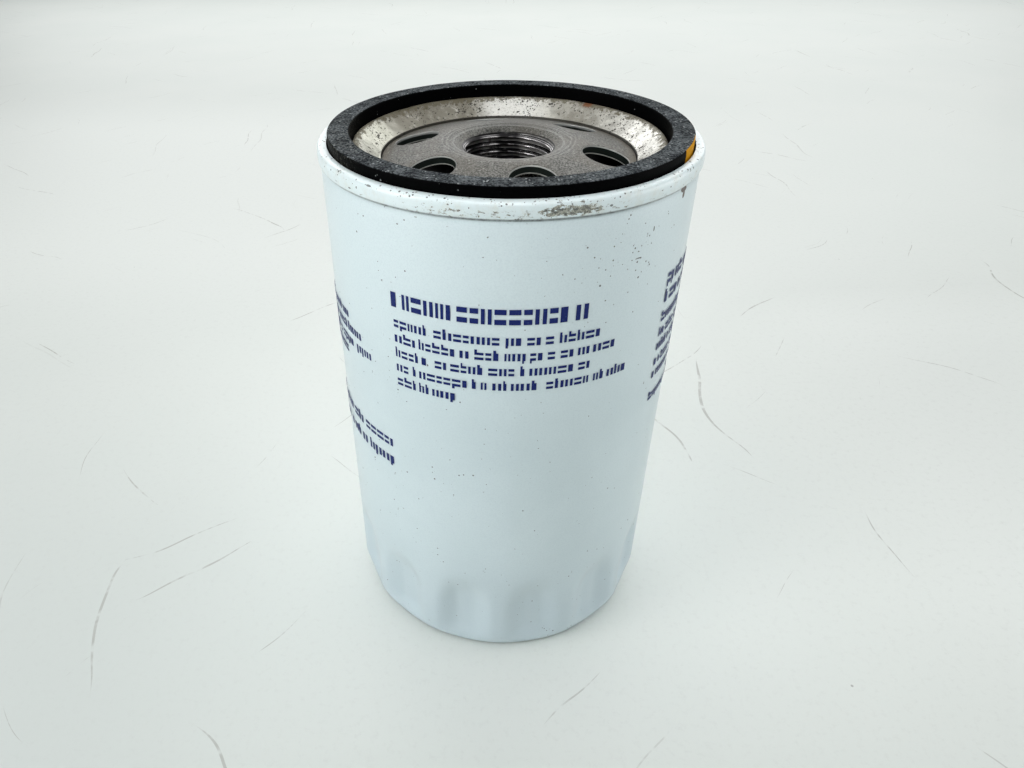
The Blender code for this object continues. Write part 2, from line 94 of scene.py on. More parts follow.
# The plate, its thread and its inlet holes
PLATE_TOP = PLATE_HIGH.z
PLATE_RADIUS = PLATE_HIGH.x
NECK_BOTTOM = PLATE_LOW.z
PLATE_THICKNESS = 1.5 * MM
PLATE_RIM_TOP = PLATE_TOP - 3.0 * MM
PLATE_FLAT_RADIUS = 14.0 * MM
PLATE_CROWN_RADIUS = 25.75 * MM
PLATE_CROWN_DROP = 2.65 * MM
PLATE_CROWN_POWER = 1.15
MOUTH_RADIUS = 12.5 * MM
MOUTH_DEPTH = 1.2 * MM
NECK_RADIUS = 11.2 * MM
THREAD_PITCH = 25.4 / 16.0 * MM
THREAD_MINOR = 8.73 * MM
THREAD_MAJOR = 9.525 * MM
THREAD_TOP = PLATE_TOP - MOUTH_DEPTH
CHAMFER_SLOPE = 1.4
UNDERSIDE_SLOPE = 0.25
THREAD_TURNS = 6
THREAD_ROWS = 14
INLET_HOLES = 6
INLET_RADIUS = 4.65 * MM
INLET_CIRCLE = 20.0 * MM
INLET_PHASE = math.radians(14.0)

# The cover ring
COVER_SHEET = 0.5 * MM
LIP_INNER = 26.0 * MM
LIP_OUTER = 26.5 * MM
GROOVE_INNER = 31.6 * MM
GROOVE_OUTER = 36.6 * MM
FLANGE_RADIUS = COVER_HIGH.x
CREST = COVER_HIGH.z
LIP_UNDERSIDE = COVER_LOW.z
FLANGE_UNDERSIDE = RIM_TOP - 1.4 * MM
GROOVE_FLOOR = LIP_UNDERSIDE + 0.5 * MM

# Chips in the enamel: degrees round the can, height, half width and half height in millimetres
CHIPS = (
    (38.3, 105.4, 0.80, 0.12),
    (43.1, 110.1, 0.18, 0.50),
    (26.4, 116.9, 0.28, 0.20),
    (-38.0, 118.2, 0.60, 0.16),
    (-46.0, 116.5, 0.40, 0.15),
    (-29.4, 112.6, 0.18, 0.14),
    (-27.1, 113.6, 0.14, 0.14),
)
RUST_CHIPS = ((56.3, 114.9, 1.15, 0.55), (56.6, 114.0, 0.45, 0.85))


# ---------------------------------------------------------------- mesh making

def around(radius, angle, height):
    """Point at a radius, an angle from the front and a height."""
    return (radius * math.sin(angle), -radius * math.cos(angle), height)


def make_piece(name, shape, material):
    """Turn a bmesh into a smooth-shaded object with one material, or with none."""
    mesh = bpy.data.meshes.new(name)
    shape.to_mesh(mesh)
    shape.free()
    mesh.shade_smooth()
    mesh.set_sharp_from_angle(angle=math.radians(40.0))
    piece = bpy.data.objects.new(name, mesh)
    bpy.context.scene.collection.objects.link(piece)
    if material:
        mesh.materials.append(material)
    return piece


def lathe(outline, columns, warp):
    """Turn a closed outline of (radius, height) points about Z into a bmesh.

    The outline runs anticlockwise with the radius to the right; points on the axis become poles.
    warp gives the radius and height that a point has at an angle.
    """
    shape = bmesh.new()
    poles = {}
    turned = []
    for step in range(columns):
        angle = TURN * step / columns
        column = []
        for index, (radius, height) in enumerate(outline):
            if radius > 0.0:
                across, up = warp(radius, height, angle)
                column.append(shape.verts.new(around(across, angle, up)))
                continue
            if index not in poles:
                poles[index] = shape.verts.new((0.0, 0.0, height))
            column.append(poles[index])
        turned.append(column)
    for step, here in enumerate(turned):
        ahead = turned[(step + 1) % columns]
        for index in range(len(outline)):
            after = (index + 1) % len(outline)
            corners = list(dict.fromkeys([here[index], ahead[index], ahead[after], here[after]]))
            if len(corners) > 2:
                shape.faces.new(corners)
    return shape


def sheet(path, thickness):
    """Outline of sheet metal whose outer face follows a path and whose body lies to its left."""
    normals = []
    for (r0, z0), (r1, z1) in zip(path, path[1:]):
        length = math.hypot(r1 - r0, z1 - z0)
        normals.append(((z0 - z1) / length, (r1 - r0) / length))
    inside = []
    for index, (radius, height) in enumerate(path):
        before = normals[max(index - 1, 0)]
        after = normals[min(index, len(normals) - 1)]
        spread = 1.0 + before[0] * after[0] + before[1] * after[1]
        shift = [thickness * (before[axis] + after[axis]) / spread for axis in (0, 1)]
        inside.append((radius + shift[0], height + shift[1]))
    return path + inside[::-1]


def rounded(path, radii):
    """Round the inner corners of an open path; radii holds one radius for each inner corner."""
    steps = 5
    points = [path[0]]
    for index in range(1, len(path) - 1):
        before, corner, after = path[index - 1], path[index], path[index + 1]
        reach = radii[index - 1]
        ends = []
        for other in (before, after):
            length = math.hypot(other[0] - corner[0], other[1] - corner[1])
            share = min(reach / length, 0.49)
            ends.append([corner[axis] + (other[axis] - corner[axis]) * share for axis in (0, 1)])
        for step in range(steps + 1):
            share = step / steps
            weights = ((1.0 - share) ** 2, 2.0 * share * (1.0 - share), share ** 2)
            points.append(tuple(
                weights[0] * ends[0][axis] + weights[1] * corner[axis] + weights[2] * ends[1][axis]
                for axis in (0, 1)
            ))
    points.append(path[-1])
    return points


def subdivided(path, longest):
    """Add points along an open path so that no straight run is longer than a length."""
    points = [path[0]]
    for start, end in zip(path, path[1:]):
        count = max(1, math.ceil(math.hypot(end[0] - start[0], end[1] - start[1]) / longest))
        for step in range(1, count + 1):
            share = step / count
            points.append(tuple(start[axis] + (end[axis] - start[axis]) * share for axis in (0, 1)))
    return points


def smooth_step(value):
    """Ease from 0 to 1 as the value goes from 0 to 1."""
    value = min(max(value, 0.0), 1.0)
    return value * value * (3.0 - 2.0 * value)


# ---------------------------------------------------------------- node graphs

class Graph:
    """Short ways to build a material's nodes. Positions are object coordinates in millimetres."""

    def __init__(self, name):
        self.material = bpy.data.materials.new(name)
        self.material.use_nodes = True
        self.tree = self.material.node_tree
        self.shader = self.tree.nodes["Principled BSDF"]
        place = self.node("ShaderNodeTexCoord").outputs["Object"]
        self.place = self.vector("SCALE", place, scale=1000.0)
        split = self.node("ShaderNodeSeparateXYZ")
        self.link(self.place, split.inputs[0])
        self.x, self.y, self.z = split.outputs
        flat = self.node("ShaderNodeCombineXYZ")
        self.link(self.x, flat.inputs[0])
        self.link(self.y, flat.inputs[1])
        length = self.node("ShaderNodeVectorMath", operation="LENGTH")
        self.link(flat.outputs[0], length.inputs[0])
        self.radius = length.outputs["Value"]
        back = self.times(self.y, -1.0)
        self.degrees = self.times(self.math("ARCTAN2", self.x, back), 180.0 / math.pi)
        self.off_front = self.math("ABSOLUTE", self.degrees)

    def node(self, kind, **settings):
        """A new node with some of its settings changed."""
        made = self.tree.nodes.new(kind)
        for key, value in settings.items():
            setattr(made, key, value)
        return made

    def link(self, value, socket):
        """Feed a socket with another socket or with a plain value."""
        if isinstance(value, bpy.types.NodeSocket):
            self.tree.links.new(value, socket)
        else:
            socket.default_value = value

    def math(self, operation, *values):
        """A sum on numbers, each a socket or a plain value."""
        made = self.node("ShaderNodeMath", operation=operation)
        for value, socket in zip(values, made.inputs):
            self.link(value, socket)
        return made.outputs[0]

    def times(self, value, other):
        """The product of two numbers."""
        return self.math("MULTIPLY", value, other)

    def most(self, value, other):
        """The larger of two numbers."""
        return self.math("MAXIMUM", value, other)

    def vector(self, operation, value, other=None, scale=None):
        """A sum on vectors."""
        made = self.node("ShaderNodeVectorMath", operation=operation)
        self.link(value, made.inputs[0])
        if other is not None:
            self.link(other, made.inputs[1])
        if scale is not None:
            made.inputs["Scale"].default_value = scale
        return made.outputs[0]

    def noise(self, scale, detail=3.0, rough=0.5, place=None):
        """Noise about 1 / scale millimetres in size."""
        made = self.node("ShaderNodeTexNoise")
        self.link(self.place if place is None else place, made.inputs["Vector"])
        made.inputs["Scale"].default_value = scale
        made.inputs["Detail"].default_value = detail
        made.inputs["Roughness"].default_value = rough
        return made.outputs["Fac"]

    def rescaled(self, x, y, z, place=None):
        """Coordinates stretched along each axis."""
        return self.vector("MULTIPLY", self.place if place is None else place, (x, y, z))

    def unrolled(self, around_scale=1.0, up_scale=1.0):
        """Coordinates along the girth and the height, for marks that follow the can's wall."""
        made = self.node("ShaderNodeCombineXYZ")
        girth = self.times(self.degrees, around_scale * math.radians(round(CAN_RADIUS / MM)))
        self.link(girth, made.inputs[0])
        self.link(self.times(self.z, up_scale), made.inputs[1])
        return made.outputs[0]

    def step(self, value, low, high):
        """0 below low and 1 above high, or the other way round when low is above high."""
        made = self.node("ShaderNodeMapRange", interpolation_type="SMOOTHSTEP")
        self.link(value, made.inputs["Value"])
        flip = low > high
        made.inputs["From Min"].default_value = min(low, high)
        made.inputs["From Max"].default_value = max(low, high)
        made.inputs["To Min"].default_value = 1.0 if flip else 0.0
        made.inputs["To Max"].default_value = 0.0 if flip else 1.0
        return made.outputs["Result"]

    def band(self, value, low, high, soft):
        """1 between low and high, with soft edges, and 0 outside."""
        rise = self.step(value, low - soft, low + soft)
        return self.times(rise, self.step(value, high + soft, high - soft))

    def specks(self, scale, size, share, place=None):
        """Small round specks: cells of 1 / scale millimetres, of which a share holds a speck."""
        cells = self.node("ShaderNodeTexVoronoi")
        self.link(self.place if place is None else place, cells.inputs["Vector"])
        cells.inputs["Scale"].default_value = scale
        split = self.node("ShaderNodeSeparateColor")
        self.link(cells.outputs["Color"], split.inputs[0])
        chosen = self.step(split.outputs[0], 1.0 - share, 1.0 - share + 0.01)
        reach = self.times(split.outputs[1], size)
        inside = self.math("SUBTRACT", reach, cells.outputs["Distance"])
        return self.times(chosen, self.step(inside, 0.0, size * 0.15))

    def marks(self, places, ragged):
        """Blots at places round the can, each (degrees, height, half width, half height) in mm."""
        frayed = self.times(self.math("SUBTRACT", self.noise(2.5, 3.0), 0.5), 2.0 * ragged)
        found = 0.0
        for degrees, height, half_width, half_height in places:
            across = self.math("SUBTRACT", self.degrees, degrees)
            across = self.times(across, math.radians(CAN_RADIUS / MM) / half_width)
            rise = self.times(self.math("SUBTRACT", self.z, height), 1.0 / half_height)
            away = self.math("ADD", self.times(across, across), self.times(rise, rise))
            inside = self.step(self.math("ADD", away, frayed), 1.15, 0.85)
            found = self.most(found, inside)
        return found

    def mix(self, factor, low, high):
        """Mix two colours."""
        made = self.node("ShaderNodeMix", data_type="RGBA")
        self.link(factor, made.inputs["Factor"])
        self.link(low, made.inputs["A"])
        self.link(high, made.inputs["B"])
        return made.outputs["Result"]

    def blend(self, factor, low, high):
        """Mix two numbers."""
        made = self.node("ShaderNodeMix", data_type="FLOAT")
        self.link(factor, made.inputs["Factor"])
        self.link(low, made.inputs["A"])
        self.link(high, made.inputs["B"])
        return made.outputs["Result"]

    def bump(self, height, strength, depth_mm, normal=None):
        """A bumped normal, laid over another one if that is given."""
        made = self.node("ShaderNodeBump")
        made.inputs["Strength"].default_value = strength
        made.inputs["Distance"].default_value = depth_mm * MM
        self.link(height, made.inputs["Height"])
        if normal is not None:
            self.link(normal, made.inputs["Normal"])
        return made.outputs["Normal"]

    def finish(self, colour, roughness, metallic, normal, plain=None):
        """Feed the shader. plain holds values that are the same all over the surface."""
        self.link(colour, self.shader.inputs["Base Color"])
        self.link(roughness, self.shader.inputs["Roughness"])
        self.link(metallic, self.shader.inputs["Metallic"])
        self.link(normal, self.shader.inputs["Normal"])
        for name, value in (plain or {}).items():
            self.shader.inputs[name].default_value = value
        return self.material


def rgb(red, green, blue):
    """An opaque colour in linear values."""
    return (red, green, blue, 1.0)


# ---------------------------------------------------------------- materials

def paint_material():
    """Pale blue-grey enamel with specks, rubs and chips, most of them on the rolled rim, and with painted
    light at the top and on the rim and painted shade low down and under the rim.
    """
    g = Graph("enamel")
    seam = RIM_TOP / MM
    wall = g.unrolled()
    cloud = g.noise(0.04, 3.0, 0.6)
    colour = g.mix(g.step(cloud, 0.3, 0.7), rgb(0.60, 0.71, 0.74), rgb(0.64, 0.75, 0.78))
    # Painted light: the enamel is paler towards the top
    painted_light_top = g.step(g.z, 70.0, 116.0)
    colour = g.mix(painted_light_top, colour, rgb(0.69, 0.80, 0.83))
    # Painted shade: the enamel is darker towards the foot
    painted_shade_low = g.step(g.z, 45.0, 4.0)
    colour = g.mix(g.times(painted_shade_low, 0.8), colour, rgb(0.50, 0.60, 0.65))
    grain = g.noise(3.2, 3.0, 0.8)
    colour = g.mix(g.times(g.step(grain, 0.42, 0.68), 0.20), colour, rgb(0.42, 0.52, 0.58))

    # Rolled rim: paler with painted highlight, and with cream stains
    rim = g.step(g.z, seam - 3.3, seam - 3.0)
    colour = g.mix(g.times(rim, 0.55), colour, rgb(0.78, 0.88, 0.89))
    cream = g.times(rim, g.step(g.noise(0.25, 4.0, 0.7), 0.45, 0.75))
    colour = g.mix(g.times(cream, 0.45), colour, rgb(0.62, 0.62, 0.54))

    # Specks, thickest on the rim and under its right front
    dots = g.specks(1.7, 0.42, 0.55)
    crowded = g.times(g.band(g.degrees, 18.0, 46.0, 8.0), g.band(g.z, 99.0, 112.0, 5.0))
    upper = g.times(g.step(g.z, seam - 1.6, seam - 0.3), 1.5)
    scattered = g.times(g.step(g.noise(0.07, 2.0), 0.55, 0.68), 0.35)
    crowd = g.most(g.most(crowded, upper), scattered)
    picked = g.step(g.math("ADD", g.noise(0.9, 2.0), g.times(crowd, 0.16)), 0.64, 0.68)
    dots = g.times(dots, picked)
    colour = g.mix(g.times(dots, 0.85), colour, rgb(0.05, 0.05, 0.05))

    # Rubs along the girth
    rubs = g.noise(1.0, 4.0, 0.7, g.unrolled(0.10, 1.2))
    rubs = g.times(g.step(rubs, 0.66, 0.71), g.step(g.noise(0.06, 1.0), 0.52, 0.66))
    colour = g.mix(g.times(rubs, 0.25), colour, rgb(0.42, 0.47, 0.50))

    # Scuff on the rim's front, with a fainter trail
    ragged = g.noise(1.5, 5.0, 0.75, g.unrolled(0.50, 1.0))
    upper_rim = g.band(g.z, seam - 2.4, seam - 0.7, 0.5)
    lower_rim = g.band(g.z, seam - 2.9, seam - 1.4, 0.5)
    front = g.times(g.band(g.degrees, 9.5, 22.5, 3.0), upper_rim)
    trail = g.times(g.band(g.degrees, -24.0, 30.0, 8.0), lower_rim)
    level = g.math("ADD", g.times(front, 0.17), g.times(trail, 0.08))
    scuff = g.step(g.math("ADD", ragged, level), 0.62, 0.66)
    scuff = g.times(scuff, rim)
    bared = g.step(g.noise(1.6, 4.0, 0.7), 0.40, 0.60)
    stains = g.mix(bared, rgb(0.36, 0.36, 0.29), rgb(0.045, 0.043, 0.030))
    colour = g.mix(g.times(scuff, 0.90), colour, stains)

    chips = g.marks(CHIPS, 0.5)
    colour = g.mix(g.times(chips, 0.85), colour, rgb(0.10, 0.105, 0.10))
    rust = g.marks(RUST_CHIPS, 0.4)
    colour = g.mix(rust, colour, g.mix(g.noise(2.0, 2.0), rgb(0.015, 0.010, 0.008), rgb(0.09, 0.03, 0.012)))

    # Painted shade in the crease under the rim, mottled, and a darker mottled grey along the foot
    seam_and_foot_mottle = g.step(g.noise(0.9, 4.0, 0.7), 0.40, 0.70)
    # Painted shade under the rolled rim
    painted_seam_shade = g.band(g.z, seam - 3.45, seam - 2.95, 0.2)
    painted_seam_shade = g.times(painted_seam_shade, g.blend(seam_and_foot_mottle, 0.6, 1.0))
    colour = g.mix(painted_seam_shade, colour, rgb(0.06, 0.06, 0.055))
    foot = g.step(g.z, 2.2, 0.2)
    colour = g.mix(g.times(foot, g.blend(seam_and_foot_mottle, 0.2, 0.6)), colour, rgb(0.33, 0.34, 0.33))

    waves = g.noise(0.06, 1.0, 0.4)
    peel = g.noise(1.1, 2.0, 0.4, wall)
    normal = g.bump(waves, 0.25, 1.2)
    normal = g.bump(peel, 0.15, 0.10, normal)
    damage = g.most(scuff, g.most(chips, dots))
    normal = g.bump(g.times(damage, -1.0), 0.5, 0.08, normal)
    rough = g.blend(g.noise(0.25, 3.0), 0.30, 0.44)
    rough = g.blend(damage, rough, 0.75)
    return g.finish(colour, rough, 0.0, normal, {"Coat Weight": 0.3, "Coat Roughness": 0.12})


def ink_material():
    """Navy printing ink, thin and worn in places."""
    g = Graph("navy_ink")
    wear = g.step(g.noise(2.2, 4.0, 0.7), 0.55, 0.72)
    colour = g.mix(g.times(wear, 0.30), rgb(0.005, 0.015, 0.125), rgb(0.10, 0.16, 0.36))
    rough = g.blend(wear, 0.42, 0.60)
    normal = g.bump(g.noise(6.0, 2.0), 0.2, 0.02)
    return g.finish(colour, rough, 0.0, normal, {"Specular IOR Level": 0.2})


def tinned_material():
    """Bright tinned sheet with painted reflections round the ring, pits, handling marks and brown grime
    towards its outer edge.
    """
    g = Graph("tinned_cover")
    # Tone that changes at random, and painted reflections that change round the ring
    tone = g.noise(0.16, 4.0, 0.65)
    colour = g.mix(g.step(tone, 0.38, 0.62), rgb(0.70, 0.69, 0.63), rgb(0.38, 0.37, 0.33))
    # Painted reflection: lighter at the back and on the right
    back = g.step(g.off_front, 160.0, 172.0)
    back = g.most(back, g.times(g.band(g.degrees, 75.0, 120.0, 15.0), 0.65))
    colour = g.mix(g.times(back, 0.7), colour, rgb(0.86, 0.86, 0.82))
    # Painted shade: darker on the left
    left = g.times(g.band(g.degrees, -115.0, -60.0, 10.0), 0.60)
    colour = g.mix(left, colour, rgb(0.40, 0.41, 0.33))
    left_back = g.band(g.degrees, -166.0, -117.0, 8.0)
    right_back = g.band(g.degrees, 136.0, 156.0, 8.0)
    tarnish = g.most(left_back, g.times(right_back, 0.7))
    tarnish = g.times(tarnish, g.step(g.noise(0.5, 4.0, 0.7), 0.22, 0.50))
    colour = g.mix(g.times(tarnish, 0.85), colour, rgb(0.20, 0.185, 0.145))
    fine = g.noise(2.2, 5.0, 0.75)
    colour = g.mix(g.times(g.step(fine, 0.48, 0.66), 0.45), colour, rgb(0.25, 0.24, 0.20))

    # Pits
    right = g.times(g.band(g.degrees, 55.0, 135.0, 12.0), 0.7)
    crowd = g.most(right, g.step(g.noise(0.14, 3.0, 0.6), 0.42, 0.62))
    crowd = g.most(crowd, g.step(g.radius, 29.6, 30.8))
    pits = g.most(g.specks(1.8, 0.70, 0.50), g.specks(3.6, 0.70, 0.45))
    picked = g.step(g.math("ADD", g.noise(0.9, 2.0), g.times(crowd, 0.16)), 0.56, 0.60)
    pits = g.times(pits, picked)
    colour = g.mix(g.times(pits, 0.95), colour, rgb(0.035, 0.03, 0.022))

    # Grime by the gasket, a rust spot, a darker band into the groove and a dark joint
    outer = g.math("ADD", g.step(g.radius, 27.5, 31.0), g.times(g.noise(0.7, 5.0, 0.8), 2.4))
    outer = g.math("ADD", outer, g.times(left_back, 0.15))
    grime = g.step(outer, 1.90, 2.10)
    colour = g.mix(g.times(grime, 0.85), colour, rgb(0.11, 0.095, 0.055))
    rust = g.times(g.band(g.degrees, 142.0, 146.0, 0.8), g.band(g.radius, 29.7, 31.8, 0.4))
    colour = g.mix(g.times(rust, 0.9), colour, rgb(0.18, 0.06, 0.015))
    groove = g.step(g.radius, 31.3, 32.2)
    colour = g.mix(g.times(groove, 0.8), colour, rgb(0.05, 0.05, 0.045))
    joint = g.step(g.radius, 26.12, 26.0)
    colour = g.mix(g.times(joint, 0.85), colour, rgb(0.03, 0.028, 0.022))

    dirt = g.most(g.most(pits, joint), g.most(grime, rust))
    rough = g.blend(fine, 0.24, 0.38)
    rough = g.blend(tarnish, rough, 0.45)
    rough = g.blend(dirt, rough, 0.65)
    metal = g.blend(dirt, 1.0, 0.2)
    normal = g.bump(g.noise(0.20, 2.0), 0.7, 0.6)
    normal = g.bump(g.math("SUBTRACT", fine, pits), 0.4, 0.05, normal)
    return g.finish(colour, rough, metal, normal)


def plate_material():
    """Phosphated steel, mottled, with drawing rings round the mouth and an oiled thread, painted shade
    behind the mouth, in the holes, underneath and in the bore, and painted highlights on the rings, hole
    edges and thread.
    """
    g = Graph("phosphated_plate")
    mottle = g.noise(2.6, 3.0, 0.75)
    colour = g.mix(g.step(mottle, 0.41, 0.59), rgb(0.046, 0.046, 0.040), rgb(0.215, 0.214, 0.197))
    drift = g.step(g.noise(0.12, 3.0), 0.40, 0.62)
    colour = g.mix(g.times(drift, 0.40), colour, rgb(0.13, 0.115, 0.09))
    edge = g.step(g.radius, 23.0, 25.8)
    colour = g.mix(g.times(edge, 0.45), colour, rgb(0.12, 0.095, 0.06))
    colour = g.mix(g.step(g.radius, 25.72, 25.82), colour, rgb(0.015, 0.013, 0.010))
    light = g.specks(1.8, 0.50, 0.22)
    dark = g.specks(1.4, 0.45, 0.30, g.vector("ADD", g.place, (31.0, 7.0, 3.0)))
    colour = g.mix(g.times(light, 0.5), colour, rgb(0.38, 0.38, 0.35))
    colour = g.mix(g.times(dark, 0.7), colour, rgb(0.04, 0.04, 0.034))
    wobble = g.times(g.noise(0.15, 2.0), 1.5)
    rings = g.math("SINE", g.times(g.math("ADD", g.radius, wobble), 7.0))
    rings = g.times(rings, g.band(g.radius, 11.6, 14.2, 0.8))
    colour = g.mix(g.times(g.step(rings, 0.6, 1.0), 0.55), colour, rgb(0.06, 0.06, 0.055))
    # Painted highlight: the pale half of the drawing rings
    colour = g.mix(g.times(g.step(rings, -0.6, -1.0), 0.35), colour, rgb(0.34, 0.34, 0.32))
    # Painted shade: darker behind the mouth
    behind = g.step(g.off_front, 120.0, 165.0)
    colour = g.mix(g.times(behind, 0.42), colour, rgb(0.055, 0.055, 0.048))

    # Inlet holes: painted shade on the punched walls, painted light on the rear holes' walls, and painted
    # highlights along the walls' lower edge and the holes' upper edge
    geometry = g.node("ShaderNodeNewGeometry")
    facing = g.node("ShaderNodeSeparateXYZ")
    g.link(geometry.outputs["True Normal"], facing.inputs[0])
    upright = g.step(g.math("ABSOLUTE", facing.outputs[2]), 0.55, 0.25)
    share = g.math("SUBTRACT", g.radius, PLATE_FLAT_RADIUS / MM)
    share = g.math("DIVIDE", share, (PLATE_CROWN_RADIUS - PLATE_FLAT_RADIUS) / MM)
    fall = g.math("POWER", g.most(share, 0.0), PLATE_CROWN_POWER)
    surface = g.math("SUBTRACT", PLATE_TOP / MM, g.times(fall, PLATE_CROWN_DROP / MM))
    depth = g.math("SUBTRACT", surface, g.z)
    punched = g.times(upright, g.band(g.radius, 14.5, 25.2, 0.3))
    # Painted light on the upper part of the rear holes' walls; painted shade, near-black, on the others
    painted_light_rear_walls = g.times(g.step(g.off_front, 88.0, 100.0), g.step(depth, 0.75, 0.45))
    wall = g.mix(painted_light_rear_walls, rgb(0.012, 0.017, 0.015), rgb(0.34, 0.35, 0.34))
    colour = g.mix(punched, colour, wall)
    under = g.times(g.math("SUBTRACT", g.radius, PLATE_FLAT_RADIUS / MM), UNDERSIDE_SLOPE)
    under = g.math("SUBTRACT", (PLATE_TOP - PLATE_THICKNESS) / MM, under)
    # Painted highlight along the lower edge of the hole walls
    painted_lower_edge_highlight = g.times(punched, g.step(g.math("SUBTRACT", g.z, under), 0.26, 0.18))
    colour = g.mix(g.times(painted_lower_edge_highlight, 0.9), colour, rgb(0.42, 0.43, 0.40))
    # Painted highlight along the upper edge of the holes
    painted_upper_edge_highlight = g.times(g.step(depth, 0.04, 0.10), g.step(depth, 0.34, 0.26))
    painted_upper_edge_highlight = g.times(painted_upper_edge_highlight, g.step(facing.outputs[2], 0.97, 0.90))
    colour = g.mix(g.times(painted_upper_edge_highlight, 0.8), colour, rgb(0.50, 0.51, 0.49))
    # Painted shade on the plate's underside
    painted_shade_underside = g.step(facing.outputs[2], -0.2, -0.6)
    colour = g.mix(painted_shade_underside, colour, rgb(0.03, 0.03, 0.028))

    # Thread: painted highlight lines in a bore darkened with painted shade, more painted shade at the back
    # and the left, and a patchy oil film
    crest, root, mouth = THREAD_MINOR / MM, THREAD_MAJOR / MM, THREAD_TOP / MM
    bore = g.times(g.step(g.radius, root + 0.035, root - 0.065), g.step(g.z, mouth + 0.3, mouth + 0.15))
    tops = g.step(g.radius, crest + 0.17, crest + 0.05)
    flanks = g.times(g.band(g.radius, crest + 0.35, crest + 0.43, 0.05), 0.7)
    roots = g.step(g.radius, root - 0.105, root - 0.025)
    painted_thread_highlight = g.most(g.most(tops, roots), flanks)
    painted_thread_highlight = g.times(painted_thread_highlight, g.step(g.z, mouth - 0.1, mouth - 0.3))
    colour = g.mix(bore, colour, g.mix(painted_thread_highlight, rgb(0.014, 0.013, 0.014), rgb(0.85, 0.83, 0.83)))
    # Painted shade at the back and the left of the bore
    painted_shade_back = g.step(g.off_front, 159.0, 170.0)
    painted_shade_back = g.most(painted_shade_back, g.band(g.degrees, -143.0, -108.0, 8.0))
    film = g.step(g.noise(0.6, 3.0), 0.50, 0.65)
    shade_and_oil_film = g.times(bore, g.most(g.times(painted_shade_back, 0.95), g.times(film, 0.25)))
    colour = g.mix(shade_and_oil_film, colour, rgb(0.010, 0.009, 0.010))
    nicks = g.times(g.band(g.radius, 9.5, 10.3, 0.2), g.band(g.degrees, -170.0, -152.0, 3.0))
    nicks = g.times(nicks, g.step(g.noise(1.3, 2.0, 0.6), 0.52, 0.55))
    colour = g.mix(nicks, colour, rgb(0.012, 0.012, 0.012))

    rough = g.blend(mottle, 0.42, 0.62)
    rough = g.blend(bore, rough, 0.26)
    metal = g.blend(bore, 0.5, 0.9)
    metal = g.blend(punched, metal, 0.0)
    g.link(g.blend(punched, 0.5, 0.05), g.shader.inputs["Specular IOR Level"])
    normal = g.bump(rings, 0.3, 0.06)
    normal = g.bump(g.math("SUBTRACT", mottle, dark), 0.45, 0.06, normal)
    return g.finish(colour, rough, metal, normal)


def rubber_material(name, dust_and_sheen=0.0, mark=False):
    """Black rubber, whose upward faces can be greyed with dust and painted sheen; mark adds the ochre
    inspection dab.
    """
    g = Graph(name)
    grain = g.noise(2.0, 5.0, 0.75)
    colour = g.mix(g.step(grain, 0.3, 0.8), rgb(0.0006, 0.0007, 0.0008), rgb(0.002, 0.0022, 0.0025))
    rough = g.blend(grain, 0.42, 0.60)
    if dust_and_sheen:
        geometry = g.node("ShaderNodeNewGeometry")
        split = g.node("ShaderNodeSeparateXYZ")
        g.link(geometry.outputs["Normal"], split.inputs[0])
        upward = g.step(split.outputs[2], 0.50, 0.93)
        # Dust and painted sheen grey the upward faces
        clumps = g.math("ADD", g.times(grain, 0.75), g.times(g.noise(0.35, 2.0), 0.25))
        dust_and_sheen_grey = g.mix(g.step(clumps, 0.42, 0.62), rgb(0.018, 0.022, 0.026), rgb(0.185, 0.205, 0.215))
        # Painted shade: less grey on the left
        shaded = g.times(g.band(g.degrees, -150.0, -45.0, 20.0), 0.1)
        patchy = g.step(g.noise(0.09, 2.0), 0.62, 0.42)
        thin = g.math("SUBTRACT", 1.0, g.times(g.most(shaded, g.times(patchy, 0.6)), 0.45))
        colour = g.mix(g.times(g.times(upward, dust_and_sheen), thin), colour, dust_and_sheen_grey)
        flecks = g.specks(1.9, 0.45, 0.25)
        seldom = g.step(g.noise(0.5, 2.0), 0.60, 0.66)
        reach = g.blend(upward, g.times(seldom, 0.5), 0.75)
        colour = g.mix(g.times(flecks, reach), colour, rgb(0.40, 0.43, 0.43))
        bloom = g.times(g.band(g.degrees, -96.0, -52.0, 10.0), g.step(grain, 0.50, 0.66))
        colour = g.mix(g.times(bloom, 0.30), colour, rgb(0.28, 0.28, 0.24))
        rough = g.blend(upward, rough, 0.78)
    if mark:
        dab_edge = g.times(g.math("SUBTRACT", g.noise(0.7, 3.0), 0.5), 2.5)
        place = g.math("ADD", g.degrees, dab_edge)
        outside = g.step(g.radius, GASKET_OUTER / MM - 0.25, GASKET_OUTER / MM - 0.1)
        dab = g.times(g.band(place, 62.0, 78.0, 0.5), outside)
        dab = g.times(dab, g.step(g.noise(1.2, 3.0), 0.20, 0.32))
        colour = g.mix(dab, colour, g.mix(g.noise(0.8, 2.0), rgb(0.70, 0.33, 0.008), rgb(0.50, 0.23, 0.01)))
    normal = g.bump(grain, 0.4, 0.08)
    return g.finish(colour, rough, 0.0, normal, {"Specular IOR Level": 0.015})


